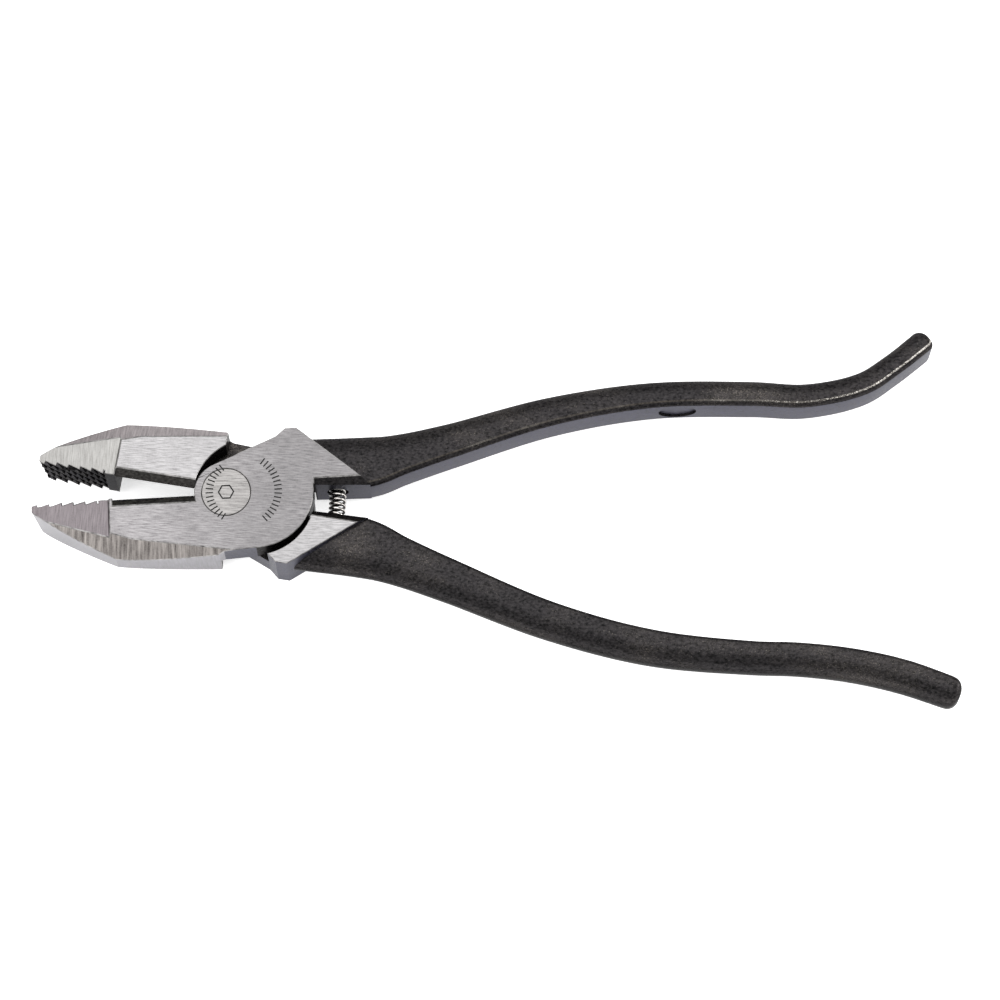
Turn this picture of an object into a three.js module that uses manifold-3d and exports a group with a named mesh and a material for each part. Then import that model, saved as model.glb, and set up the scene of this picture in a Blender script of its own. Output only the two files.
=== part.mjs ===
// Spring-opened lineman pliers: two forged halves that cross at a flush rivet.
// Millimetres, +Z up. The origin is the rivet's axis at the underside; +X runs to the handles.
//
// Both halves are drawn closed, in the place of the hook half: jaw on the -Y side, handle on
// the +Y side, lap plate in the upper layer. The plain half is the same forging rolled over
// about X, with its own handle. Each half is then turned about the rivet to the rest opening.
import * as THREE from 'three';
import { mergeVertices } from 'three/addons/utils/BufferGeometryUtils.js';
import { ParametricGeometry } from 'three/addons/geometries/ParametricGeometry.js';
import Module from 'manifold-3d';

const wasm = await Module();
wasm.setup();

const degrees = THREE.MathUtils.degToRad;

// Overall
const THICKNESS = 15.9;
const MID = THICKNESS / 2;
const REST_HALF_ANGLE = degrees(6.25);
const OVERSHOOT = 4;

// Lap joint: a plate on each half turns inside a half-depth pocket of the other
const LAP_GAP = 0.1;
const HUB_RADIUS = 8.0;
const DISC_X = 7.0;
const PLATE_RADIUS = 14.95;
const POCKET_RADIUS = 15.3;
const POCKET_BACK_X = -2.3;
const FLANK_ANGLE = degrees(22.3);

// Shoulder that carries the handle. Its inner wall runs straight out to the knee, and a sloping
// band joins the wall to each ground face.
const BUMP = { startX: 12.9, leftX: 15.4, rightX: 18.3, y: 16.0 };
const WALL = { x: 22.5, y: 1.0 };
const KNEE = { x: 36.2, y: 0.4 };
const BAND = { startX: 22.2, y: 2.5, slope: 1.0 };

// Jaw
const TIP_X = -49.1;
const TIP_FLAT_Y = 2.2;
const NOSE_PULL = { x: -42.0, y: 8.0 };
const CORNER = { x: -28.4, y: 14.8 };
const BODY_PULL_X = -20;
const JAW_Y = 16.0;
const HEEL_X = -2.7;
const CREASE_X = -29.4;
const NOSE_DROP = 0.8;
const NOSE_TIP_DROP = 1.2;
const CREASE_RUN = 0.4;
const CHAMFER_DROP = 4.4;
const CORNER_SIDE_Y = 14.6;
const CHAMFER_EDGE_Y = 10.05;
const CHAMFER_HEEL = { x: 0.9, y: 15.1 };
const CHAMFER_FADE = { x: -45, y: 5.2 };

// The plain half's nose is ground back a little further than the hook half's
const HOOK_NOSE_BACK = 0;
const PLAIN_NOSE_BACK = 0.9;
const TIP_LEAN = 1.4;

// Teeth and knives, measured back from the closed parting plane
const TOOTH_PITCH = 2.97;
const TOOTH_COUNT = 6;
const FIRST_CREST = 1.75;
const TOOTH_HEIGHT = 0.8;
const TOOTH_RISE = 0.15;
const TOOTH_SETBACK = 0.15;
const EDGE_SETBACK = 0.05;
const KNIFE_DEPTH = 1.6;
const KNIFE_BEVEL = 2.1;
const KNIFE_START_X = -28.6;
const KNIFE_END_X = -5.5;
const RELIEF_STEPS = 5;
const RELIEF_WIDTH = 6.0;

// Rivet, flush on both faces
const RIVET = { shank: 4.2, head: 6.1, rim: 0.5, fit: 0.05 };

// Opening spring, on an arc about the rivet, seated in a blind pocket in each shoulder
const SPRING = { arc: 27.7, radius: 1.85, wire: 0.38, turns: 14, pocket: 2.7 };
const POCKET_MOUTH = degrees(2.0);
const POCKET_FLOOR = degrees(13.2);
const SPRING_END_PLAY = degrees(0.9);

// Handles: D section with a flat inner face. Each station is [x, y, width] on the centre line.
const HANDLE_THICKNESS = 11.6;
const HANDLE_SQUARENESS = 2.6;
const HOOK_END_ROUND = 2.2;
const PLAIN_END_ROUND = 2.9;
const SECTION_STEPS = 14;
const HANDLE_STEPS = 34;
const END_STEPS = 5;
const HOOK_HANDLE = [
  [19, 7.2, 15.4],
  [36.5, 7.5, 14.2],
  [44, 8.9, 11.9],
  [57, 11.85, 10.0],
  [82.5, 18.05, 8.5],
  [108.5, 20.9, 7.7],
  [134, 19.85, 7.4],
  [148, 18.55, 7.1],
  [162.2, 20.9, 6.75],
  [170, 25.3, 6.5],
  [179.9, 32.4, 6.7],
];
const PLAIN_HANDLE = [
  [19, 7.2, 15.4],
  [36.5, 7.4, 14.0],
  [45.5, 9.2, 11.5],
  [59, 12.35, 9.9],
  [85, 18.5, 8.6],
  [111, 21.3, 8.0],
  [136, 19.9, 7.3],
  [148, 18.4, 7.3],
  [161, 17.8, 7.35],
  [174, 18.6, 7.4],
  [188.9, 21.35, 7.0],
];

// Turns a three.js geometry into a solid that can be joined and cut.
function solidOf(geometry) {
  const bare = geometry.clone();
  bare.deleteAttribute('normal');
  bare.deleteAttribute('uv');
  const welded = mergeVertices(bare, 1e-5);
  const triangles = [];
  for (let i = 0; i < welded.index.count; i += 3) {
    const corners = [0, 1, 2].map((k) => welded.index.getX(i + k));
    if (new Set(corners).size === 3) triangles.push(...corners);
  }
  return new wasm.Manifold(new wasm.Mesh({
    numProp: 3,
    vertProperties: new Float32Array(welded.attributes.position.array),
    triVerts: new Uint32Array(triangles),
  }));
}

function geometryOf(solid) {
  const mesh = solid.getMesh();
  const geometry = new THREE.BufferGeometry();
  geometry.setAttribute('position', new THREE.Float32BufferAttribute(mesh.vertProperties, 3));
  geometry.setIndex(new THREE.Uint32BufferAttribute(mesh.triVerts, 1));
  return geometry;
}

function polygon(points) {
  return new THREE.Shape(points.map(([x, y]) => new THREE.Vector2(x, y)));
}

function disc(x, y, radius) {
  return new THREE.Shape().absarc(x, y, radius, 0, 2 * Math.PI);
}

function prism(shape, zLow, zHigh, curveSegments = 24) {
  const depth = zHigh - zLow;
  const geometry = new THREE.ExtrudeGeometry(shape, { depth, bevelEnabled: false, curveSegments });
  return solidOf(geometry.translate(0, 0, zLow));
}

// A prism along X from an outline drawn as [y, z].
function prismAlongX(points, xLow, xHigh) {
  const options = { depth: xHigh - xLow, bevelEnabled: false };
  const geometry = new THREE.ExtrudeGeometry(polygon(points), options);
  const yzx = new THREE.Matrix4().makeBasis(
    new THREE.Vector3(0, 1, 0),
    new THREE.Vector3(0, 0, 1),
    new THREE.Vector3(1, 0, 0),
  );
  return solidOf(geometry.applyMatrix4(yzx).translate(xLow, 0, 0));
}

// A prism along Y from an outline drawn as [x, z].
function prismAlongY(points, yLow, yHigh) {
  const options = { depth: yHigh - yLow, bevelEnabled: false };
  const geometry = new THREE.ExtrudeGeometry(polygon(points), options);
  return solidOf(geometry.rotateX(Math.PI / 2).translate(0, yHigh, 0));
}

// A slab that removes everything above the plane through three points, seen anticlockwise.
function slabAbove(a, b, c) {
  const [origin, second, third] = [a, b, c].map((point) => new THREE.Vector3(...point));
  const along = second.sub(origin).normalize();
  const normal = along.clone().cross(third.sub(origin)).normalize();
  const across = normal.clone().cross(along);
  const slab = new THREE.BoxGeometry(80, 40, 20).translate(20, 0, 10);
  const placed = new THREE.Matrix4().makeBasis(along, across, normal).setPosition(origin);
  return solidOf(slab.applyMatrix4(placed));
}

function mirroredInThickness(solid) {
  return solid.mirror([0, 0, 1]).translate([0, 0, THICKNESS]);
}

// Plan outline of one half, without its handle.
function halfOutline(noseBack) {
  const tangentAngle = FLANK_ANGLE + Math.PI / 2;
  const shape = new THREE.Shape();
  shape.moveTo(TIP_X + noseBack, -TIP_FLAT_Y);
  shape.quadraticCurveTo(NOSE_PULL.x, -NOSE_PULL.y, CORNER.x, -CORNER.y);
  shape.quadraticCurveTo(BODY_PULL_X, -JAW_Y, HEEL_X, -JAW_Y);
  shape.lineTo(POCKET_BACK_X + 1.2, -PLATE_RADIUS - 0.4);
  shape.lineTo(DISC_X, -PLATE_RADIUS);
  shape.absarc(DISC_X, 0, PLATE_RADIUS, -Math.PI / 2, degrees(3.8), false);
  shape.lineTo(WALL.x, WALL.y);
  shape.lineTo(KNEE.x, KNEE.y);
  shape.lineTo(BUMP.rightX, BUMP.y);
  shape.lineTo(BUMP.leftX, BUMP.y);
  shape.lineTo(BUMP.startX, flankY(BUMP.startX));
  shape.absarc(0, 0, HUB_RADIUS, tangentAngle, Math.PI, false);
  shape.lineTo(-HUB_RADIUS, -EDGE_SETBACK);
  shape.lineTo(CREASE_X, -EDGE_SETBACK);
  addTeeth(shape, noseBack);
  return shape;
}

// The straight flank leaves the hub as a tangent.
function flankY(x) {
  const tangentX = -HUB_RADIUS * Math.sin(FLANK_ANGLE);
  const tangentY = HUB_RADIUS * Math.cos(FLANK_ANGLE);
  return tangentY + (x - tangentX) * Math.tan(FLANK_ANGLE);
}

// Saw teeth, steep towards the joint, from the inner end out to the tip.
function addTeeth(shape, noseBack) {
  const tipX = TIP_X + noseBack;
  const crestY = -TOOTH_SETBACK;
  const rootY = crestY - TOOTH_HEIGHT;
  shape.lineTo(CREASE_X, crestY);
  for (let tooth = TOOTH_COUNT - 1; tooth > 0; tooth -= 1) {
    const crestX = tipX + FIRST_CREST + tooth * TOOTH_PITCH;
    shape.lineTo(crestX, crestY);
    shape.lineTo(crestX - TOOTH_PITCH + TOOTH_RISE, rootY);
  }
  shape.lineTo(tipX + FIRST_CREST, crestY);
  shape.lineTo(tipX, THREE.MathUtils.lerp(crestY, rootY, FIRST_CREST / TOOTH_PITCH));
}

// Half-depth room under the plate for the mate's plate.
function platePocket() {
  const top = MID + LAP_GAP / 2;
  const round = prism(disc(DISC_X, 0, POCKET_RADIUS), -OVERSHOOT, top, 36);
  const back = polygon([[POCKET_BACK_X, -20], [DISC_X, -20], [DISC_X, 0], [POCKET_BACK_X, -8]]);
  return round.add(prism(back, -OVERSHOOT, top));
}

// The outer edge of the jaw is ground off along the body and, more steeply, along the nose.
function jawChamfer() {
  const corner = [CREASE_X, -CORNER_SIDE_Y, THICKNESS - CHAMFER_DROP];
  const bodyEdge = [CREASE_X, -CHAMFER_EDGE_Y, THICKNESS];
  const heelEdge = [CHAMFER_HEEL.x, -CHAMFER_HEEL.y, THICKNESS];
  const noseEdge = [CREASE_X, -CHAMFER_EDGE_Y, THICKNESS - NOSE_DROP];
  const fadeEdge = [CHAMFER_FADE.x, -CHAMFER_FADE.y, THICKNESS - NOSE_TIP_DROP];
  return slabAbove(heelEdge, bodyEdge, corner).add(slabAbove(noseEdge, fadeEdge, corner));
}

// The gripping nose is ground slightly thinner than the body, up to a crease.
function noseFacet(noseBack) {
  const profile = [
    [TIP_X - OVERSHOOT, THICKNESS + OVERSHOOT],
    [TIP_X - OVERSHOOT, THICKNESS - NOSE_TIP_DROP],
    [CREASE_X - CREASE_RUN, THICKNESS - NOSE_DROP],
    [CREASE_X, THICKNESS],
    [CREASE_X, THICKNESS + OVERSHOOT],
  ];
  return prismAlongY(profile, -20, OVERSHOOT).translate([noseBack, 0, 0]);
}

// The tip's end leans back from the face with the knife to the far face.
function leaningTip(noseBack, faceZ, farZ) {
  const tipX = TIP_X + noseBack;
  const lean = [
    [tipX - OVERSHOOT, faceZ],
    [tipX, faceZ],
    [tipX + TIP_LEAN, farZ],
    [tipX - OVERSHOOT, farZ],
  ];
  return prismAlongY(lean, -20, OVERSHOOT);
}

// What is ground away to leave a side-cutting edge just inside one face: a narrow bevel on that
// face's side of the edge, and a hollow relief from the edge down to the far face. The round hub
// is left whole.
function knifeGrind(edgeZ, faceZ, farZ) {
  const beyond = Math.sign(faceZ - edgeZ) * OVERSHOOT;
  const edge = [-EDGE_SETBACK, edgeZ];
  const bevel = [
    edge,
    [-KNIFE_BEVEL, faceZ],
    [-KNIFE_BEVEL, faceZ + beyond],
    [OVERSHOOT, faceZ + beyond],
    [OVERSHOOT, edgeZ],
  ];
  const relief = [
    [OVERSHOOT, edgeZ],
    [OVERSHOOT, farZ - beyond],
    [-RELIEF_WIDTH, farZ - beyond],
  ];
  for (let step = RELIEF_STEPS; step >= 0; step -= 1) {
    const share = step / RELIEF_STEPS;
    const hollow = RELIEF_WIDTH * Math.sin(share * Math.PI / 2);
    relief.push([-EDGE_SETBACK - hollow, THREE.MathUtils.lerp(edgeZ, farZ, share)]);
  }
  return prismAlongX(bevel, KNIFE_START_X, KNIFE_END_X)
    .add(prismAlongX(relief, KNIFE_START_X, KNIFE_END_X))
    .subtract(prism(disc(0, 0, HUB_RADIUS), MID + LAP_GAP / 2, THICKNESS + OVERSHOOT, 32));
}

// One point of the D section: share 0 and 1 are the corners of the flat inner face.
function sectionPoint(share) {
  const angle = (share - 0.5) * Math.PI;
  const power = 2 / HANDLE_SQUARENESS;
  const out = 2 * Math.abs(Math.cos(angle)) ** power - 1;
  const up = Math.sign(angle) * Math.abs(Math.sin(angle)) ** power;
  return { out, up };
}

// D-section bar along a line of [x, y, width] stations, rounded over at the free end.
function handleBar(stations, endRound) {
  const line = new THREE.CatmullRomCurve3(stations.map((station) => new THREE.Vector3(...station)));
  const roundShare = endRound / line.getLength();
  const lastRing = HANDLE_STEPS + END_STEPS + 2;
  const column = SECTION_STEPS + 1;

  const surface = (u, v, target) => {
    const ring = Math.round(v * lastRing);
    const isCap = ring === 0 || ring === lastRing;
    const straight = THREE.MathUtils.clamp((ring - 1) / HANDLE_STEPS, 0, 1);
    const turned = THREE.MathUtils.clamp((ring - 1 - HANDLE_STEPS) / END_STEPS, 0, 1) * Math.PI / 2;
    const along = straight * (1 - roundShare) + Math.sin(turned) * roundShare;
    const inset = endRound * (1 - Math.cos(turned));
    const station = line.getPointAt(along);
    const heading = line.getTangentAt(along).setZ(0).normalize();
    const { out, up } = sectionPoint((Math.round(u * column) % column) / SECTION_STEPS);
    const across = isCap ? 0 : (station.z / 2 - inset) * out;
    const height = isCap ? 0 : (HANDLE_THICKNESS / 2 - inset) * up;
    target.set(station.x - heading.y * across, station.y + heading.x * across, MID + height);
  };
  return solidOf(new ParametricGeometry(surface, column, lastRing));
}

// Keeps the inner side of the handle's root back to the line of the shoulder's wall.
function handleRelief() {
  const room = polygon([
    [10, WALL.y],
    [10, -OVERSHOOT],
    [KNEE.x, -OVERSHOOT],
    [KNEE.x, KNEE.y],
    [WALL.x, WALL.y],
  ]);
  return prism(room, -OVERSHOOT, THICKNESS + OVERSHOOT);
}

// Slopes the shoulder's inner edge down from the ground face to its wall.
function shoulderBand() {
  const profile = [
    [BAND.y, THICKNESS],
    [BAND.y, THICKNESS + OVERSHOOT],
    [-OVERSHOOT, THICKNESS + OVERSHOOT],
    [-OVERSHOOT, THICKNESS - BAND.slope * (BAND.y + OVERSHOOT)],
  ];
  return prismAlongX(profile, BAND.startX, KNEE.x + OVERSHOOT);
}

// Countersunk rivet shape, grown by a clearance when it is used to cut the hole.
function rivetProfile(clearance) {
  const shank = RIVET.shank + clearance;
  const head = RIVET.head + clearance;
  const end = clearance > 0 ? OVERSHOOT : 0;
  const cone = RIVET.rim + RIVET.head - RIVET.shank;
  const profile = [
    [0, -end],
    [head, -end],
    [head, RIVET.rim],
    [shank, cone],
    [shank, THICKNESS - cone],
    [head, THICKNESS - RIVET.rim],
    [head, THICKNESS + end],
    [0, THICKNESS + end],
  ];
  return profile.map(([radius, z]) => new THREE.Vector2(radius, z));
}

function rivetSolid(clearance) {
  return solidOf(new THREE.LatheGeometry(rivetProfile(clearance), 64).rotateX(Math.PI / 2));
}

// Blind hole for one end of the spring, drilled square to the spring's arc.
function springPocket() {
  const aim = (POCKET_MOUTH + POCKET_FLOOR) / 2;
  const floor = SPRING.arc * Math.tan(POCKET_FLOOR - aim);
  const depth = floor + SPRING.arc * Math.tan(aim);
  const hole = new THREE.CylinderGeometry(SPRING.pocket, SPRING.pocket, depth, 32);
  hole.translate(SPRING.arc, floor - depth / 2, MID).rotateZ(aim);
  return solidOf(hole);
}

// One half as it lies closed. edgeZ, faceZ and farZ place its knife through the thickness.
function closedHalf(handle, noseBack, edgeZ, faceZ, farZ) {
  const cuts = [
    platePocket(),
    jawChamfer(),
    mirroredInThickness(jawChamfer()),
    noseFacet(noseBack),
    mirroredInThickness(noseFacet(noseBack)),
    leaningTip(noseBack, faceZ, farZ),
    shoulderBand(),
    mirroredInThickness(shoulderBand()),
    knifeGrind(edgeZ, faceZ, farZ),
    rivetSolid(RIVET.fit),
    springPocket(),
  ];
  const bar = handle.subtract(handleRelief());
  const blank = prism(halfOutline(noseBack), 0, THICKNESS).add(bar);
  return cuts.reduce((body, cut) => body.subtract(cut), blank);
}

function forgedSteel() {
  return new THREE.MeshStandardMaterial({ color: 0x3a3836, metalness: 0.85, roughness: 0.45 });
}

function groundSteel() {
  return new THREE.MeshStandardMaterial({ color: 0xb6b3af, metalness: 1, roughness: 0.35 });
}

function springSteel() {
  return new THREE.MeshStandardMaterial({ color: 0x9c9a98, metalness: 1, roughness: 0.25 });
}

function node(name, geometry, material) {
  const flat = geometry.index ? geometry.toNonIndexed() : geometry;
  flat.computeVertexNormals();
  const mesh = new THREE.Mesh(flat, material);
  mesh.name = name;
  return mesh;
}

// Jaw on the -Y side, plate and knife in the upper layer.
function hookHalf() {
  const handle = handleBar(HOOK_HANDLE, HOOK_END_ROUND);
  const solid = closedHalf(handle, HOOK_NOSE_BACK, THICKNESS - KNIFE_DEPTH, THICKNESS, 0);
  const mesh = node('hook_handle_half', geometryOf(solid), forgedSteel());
  mesh.rotation.z = REST_HALF_ANGLE;
  return mesh;
}

// Rolled over about X, so its plate is in the lower layer. Its knife is still near the top.
function plainHalf() {
  const handle = handleBar(PLAIN_HANDLE, PLAIN_END_ROUND);
  const solid = closedHalf(handle, PLAIN_NOSE_BACK, KNIFE_DEPTH, 0, THICKNESS);
  const mesh = node('plain_handle_half', geometryOf(solid), forgedSteel());
  mesh.rotation.x = Math.PI;
  mesh.position.z = THICKNESS;
  const turned = new THREE.Group();
  turned.rotation.z = -REST_HALF_ANGLE;
  turned.add(mesh);
  return turned;
}

function pivotRivet() {
  return node('pivot_rivet', geometryOf(rivetSolid(0)), groundSteel());
}

// Helix wound around an arc that is centred on the rivet's axis.
class ArcHelix extends THREE.Curve {
  constructor(halfSweep) {
    super();
    this.halfSweep = halfSweep;
  }

  getPoint(share, target = new THREE.Vector3()) {
    const around = 2 * Math.PI * SPRING.turns * share;
    const along = this.halfSweep * (2 * share - 1);
    const reach = SPRING.arc + SPRING.radius * Math.cos(around);
    const height = MID + SPRING.radius * Math.sin(around);
    return target.set(reach * Math.cos(along), reach * Math.sin(along), height);
  }
}

function openingSpring() {
  const helix = new ArcHelix(REST_HALF_ANGLE + POCKET_FLOOR - SPRING_END_PLAY);
  const options = { steps: 186, extrudePath: helix, curveSegments: 4, bevelEnabled: false };
  const wire = new THREE.ExtrudeGeometry(disc(0, 0, SPRING.wire), options);
  return node('opening_spring', wire, springSteel());
}

function pliers() {
  const group = new THREE.Group();
  group.name = 'lineman_pliers';
  group.add(hookHalf(), plainHalf(), pivotRivet(), openingSpring());
  return group;
}

export default pliers();
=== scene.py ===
"""Spring-opened lineman pliers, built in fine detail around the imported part.

Metres, +Z up. The origin is the rivet's axis at the underside; +X runs to the handles. Both halves
are drawn closed, in the hook half's place: jaw on -Y, handle on +Y, lap plate in the upper layer.
The plain half is the same forging rolled over about X. Each half is then turned to the rest opening.
"""

import math

import bmesh
import bpy
import numpy as np
from mathutils import Matrix, Vector


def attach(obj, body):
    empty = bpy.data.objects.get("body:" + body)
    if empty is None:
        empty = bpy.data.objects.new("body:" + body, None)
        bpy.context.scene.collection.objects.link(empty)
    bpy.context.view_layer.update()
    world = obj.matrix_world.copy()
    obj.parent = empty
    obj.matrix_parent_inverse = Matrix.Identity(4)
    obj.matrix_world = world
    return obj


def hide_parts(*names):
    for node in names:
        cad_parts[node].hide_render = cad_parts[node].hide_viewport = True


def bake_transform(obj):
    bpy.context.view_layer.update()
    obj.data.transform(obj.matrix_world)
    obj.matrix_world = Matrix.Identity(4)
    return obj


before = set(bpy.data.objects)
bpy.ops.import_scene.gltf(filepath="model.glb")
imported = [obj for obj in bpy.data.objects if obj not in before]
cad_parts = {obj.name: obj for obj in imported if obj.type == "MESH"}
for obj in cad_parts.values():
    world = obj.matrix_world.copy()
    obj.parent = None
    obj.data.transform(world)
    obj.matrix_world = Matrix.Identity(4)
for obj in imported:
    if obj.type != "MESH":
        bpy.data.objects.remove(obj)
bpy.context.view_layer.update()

# Overall
THICKNESS = 0.0159
MID = THICKNESS / 2
REST_HALF_ANGLE = math.radians(6.25)
OVERSHOOT = 0.004
CUTTER_REACH = 0.02

# Lap joint
LAP_GAP = 0.0001
HUB_RADIUS = 0.008
DISC_X = 0.007
PLATE_RADIUS = 0.01495
POCKET_RADIUS = 0.0153
POCKET_BACK_X = -0.0023
PLATE_STEP = (0.0012, 0.0004)
PLATE_END_ANGLE = math.radians(3.8)
FLANK_ANGLE = math.radians(22.3)

# Shoulder that carries the handle, with a sloping band between its inner wall and each face
BUMP_START_X = 0.0129
BUMP_TOP = ((0.0183, 0.016), (0.0154, 0.016))
WALL = (0.0225, 0.001)
KNEE = (0.0362, 0.0004)
BAND_START_X = 0.0222
BAND_Y = 0.0025
BAND_SLOPE = 1.0

# Jaw
TIP_X = -0.0491
TIP_FLAT_Y = 0.0022
NOSE_PULL = (-0.042, -0.008)
CORNER = (-0.0284, -0.0148)
BODY_PULL = (-0.020, -0.016)
HEEL = (-0.0027, -0.016)
CREASE_X = -0.0294
CREASE_RUN = 0.0004
NOSE_DROP = 0.0008
NOSE_TIP_DROP = 0.0012
CHAMFER_DROP = 0.0044
CORNER_SIDE_Y = 0.0146
CHAMFER_EDGE_Y = 0.01005
CHAMFER_HEEL = (0.0009, -0.0151)
CHAMFER_FADE = (-0.045, -0.0052)
SLAB_END = 0.06
HOOK_NOSE_BACK = 0.0
PLAIN_NOSE_BACK = 0.0009
TIP_LEAN = 0.0014

# Teeth and knives, measured back from the closed parting plane
TOOTH_PITCH = 0.00297
TOOTH_COUNT = 6
FIRST_CREST = 0.00175
TOOTH_SETBACK = 0.00015
EDGE_SETBACK = 0.00005
KNIFE_DEPTH = 0.0016
KNIFE_BEVEL = 0.0021
KNIFE_START_X = -0.0286
KNIFE_END_X = -0.0055
RELIEF_STEPS = 12
RELIEF_WIDTH = 0.006
TOOTH_HEIGHT = 0.0008
TOOTH_RISE = 0.00015
TOOTH_SHIFT = 3.5
TOOTH_SPARE = 6
CREST_FLAT = 0.00001
INNER_LAND = 0.0027

# Handles: each station is (x, y, width) on the centre line
HANDLE_THICKNESS = 0.0116
HANDLE_SQUARENESS = 2.6
HANDLE_CORNER = 0.0013
HOOK_END_ROUND = 0.0022
PLAIN_END_ROUND = 0.0029
SECTION_STEPS = 30
CORNER_STEPS = 9
RIM_STEPS = 2
STATION_STEPS = 12
END_STEPS = 8
HOOK_HANDLE = (
    (0.0190, 0.0072, 0.0154),
    (0.0365, 0.0075, 0.0142),
    (0.0440, 0.0089, 0.0119),
    (0.0570, 0.01185, 0.0100),
    (0.0825, 0.01805, 0.0085),
    (0.1085, 0.0209, 0.0077),
    (0.1340, 0.01985, 0.0074),
    (0.1480, 0.01855, 0.0071),
    (0.1622, 0.0209, 0.00675),
    (0.1700, 0.0253, 0.0065),
    (0.1799, 0.0324, 0.0066),
)
PLAIN_HANDLE = (
    (0.0190, 0.0072, 0.0154),
    (0.0365, 0.0074, 0.0140),
    (0.0455, 0.0092, 0.0115),
    (0.0590, 0.01235, 0.0099),
    (0.0850, 0.0185, 0.0086),
    (0.1110, 0.0213, 0.0080),
    (0.1360, 0.0199, 0.0073),
    (0.1480, 0.0184, 0.0073),
    (0.1610, 0.0178, 0.00735),
    (0.1740, 0.0186, 0.0074),
    (0.1889, 0.02135, 0.0070),
)
RECESS_X = 0.1145
RECESS_LENGTH = 0.0096
RECESS_HEIGHT = 0.0080
RECESS_DEPTH = 0.0006
RECESS_REACH = 0.003

# Rivet, spring and its pockets
RIVET_SHANK = 0.0042
RIVET_HEAD = 0.0061
RIVET_RIM = 0.0005
RIVET_FIT = 0.00005
RIVET_EDGE = 0.00012
RIVET_HOLE_EDGE = 0.0001
SPRING_ARC = 0.0277
SPRING_RADIUS = 0.00185
SPRING_WIRE = 0.00038
SPRING_TURNS = 14
SPRING_ROWS_PER_TURN = 26
SPRING_SIDES = 10
SPRING_POCKET = 0.0027
POCKET_MOUTH = math.radians(2.0)
POCKET_FLOOR = math.radians(13.2)
SPRING_END_PLAY = math.radians(0.9)

# Edge break on the forgings, and the plain marks round the rivet
EDGE_BREAK = 0.00018
EDGE_ANGLE = math.radians(25)
MARK_DEPTH = 0.00015
MARK_CENTRE_X = 0.0036
TICK_LENGTH = 0.0019
TICK_WIDTH = 0.00034
LEFT_MARK_RADIUS = 0.0078
RIGHT_MARK_RADIUS = 0.0095
HEXAGON_RADIUS = 0.0021
HEXAGON_LINE = 1.2 * TICK_WIDTH

# Shine and worn clouds of the black oxide, and the light that comes up through the white table
OXIDE_METALLIC = 0.85
OXIDE_SPECULAR = 0.2
CLOUD_SHARE = 0.07
CLOUD_WEAR = 0.3
TABLE_GLOW = 0.6

# Along the hook handle the rim gets a painted glint that brightens towards the hook
RIM_GLINT_SPAN = (0.125, 0.17)

# Brushing of the ground faces, in cells per metre, and where they darken towards the joint
FACE_BRUSHING = (330, 3900, 3900)
JOINT_SHADE_SPAN = (-0.028, 0.014)

# Camera and floor
CAMERA_TARGET = (0.06848, 0.00625, 0.0)
CAMERA_DISTANCE = 1.0191
CAMERA_ELEVATION = math.radians(73)
CAMERA_AZIMUTH = math.radians(2.95)
CAMERA_LENS = 144
CAMERA_SENSOR = 36
FLOOR_DROP = 0.00005
FLOOR_HALF = 3


# ---- Node materials ------------------------------------------------------------------------


def add_node(tree, kind, inputs=(), **settings):
    """A new node with its settings, and its inputs linked or set."""
    node = tree.nodes.new(kind)
    for key, value in settings.items():
        setattr(node, key, value)
    for key, value in dict(inputs).items():
        if isinstance(value, bpy.types.NodeSocket):
            tree.links.new(value, node.inputs[key])
        else:
            node.inputs[key].default_value = value
    return node


def noise(tree, stretch, scale=1.0, detail=4.0, turn=(0, 0, 0), rough=0.55):
    """Noise in the piece's own coordinates. stretch is its cells per metre along each axis."""
    place = add_node(tree, "ShaderNodeTexCoord").outputs["Object"]
    placing = {"Vector": place, "Scale": stretch, "Rotation": turn}
    mapping = add_node(tree, "ShaderNodeMapping", placing)
    inputs = {"Vector": mapping.outputs[0], "Scale": scale, "Detail": detail, "Roughness": rough}
    return add_node(tree, "ShaderNodeTexNoise", inputs).outputs["Fac"]


def ramp(tree, value, stops):
    """Colours by value; stops are (position, colour)."""
    node = add_node(tree, "ShaderNodeValToRGB", {"Fac": value})
    elements = node.color_ramp.elements
    while len(elements) < len(stops):
        elements.new(0.5)
    for element, (position, colour) in zip(elements, stops):
        element.position = position
        element.color = (*colour, 1)
    return node.outputs["Color"]


def span(tree, value, low, high, start=0.3, end=0.7):
    """Maps value from start..end to low..high."""
    inputs = {"Value": value, "From Min": start, "From Max": end, "To Min": low, "To Max": high}
    return add_node(tree, "ShaderNodeMapRange", inputs).outputs["Result"]


def mix(tree, share, first, second):
    """Mixes two colours by share."""
    inputs = {0: share, 6: first, 7: second}
    return add_node(tree, "ShaderNodeMix", inputs, data_type="RGBA").outputs[2]


def math_node(tree, operation, first, second):
    return add_node(tree, "ShaderNodeMath", {0: first, 1: second}, operation=operation).outputs[0]


def bump(tree, height, depth, strength=1.0):
    inputs = {"Height": height, "Distance": depth, "Strength": strength}
    return add_node(tree, "ShaderNodeBump", inputs).outputs["Normal"]


def new_material(name, metallic):
    """An empty Principled material, its node tree and its shader node."""
    material = bpy.data.materials.new(name)
    material.use_nodes = True
    shader = material.node_tree.nodes["Principled BSDF"]
    shader.inputs["Metallic"].default_value = metallic
    return material, material.node_tree, shader


def connect(tree, shader, **sockets):
    """Links sockets to the shader's inputs, written with _ for spaces."""
    for key, socket in sockets.items():
        tree.links.new(socket, shader.inputs[key.replace("_", " ")])


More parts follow.
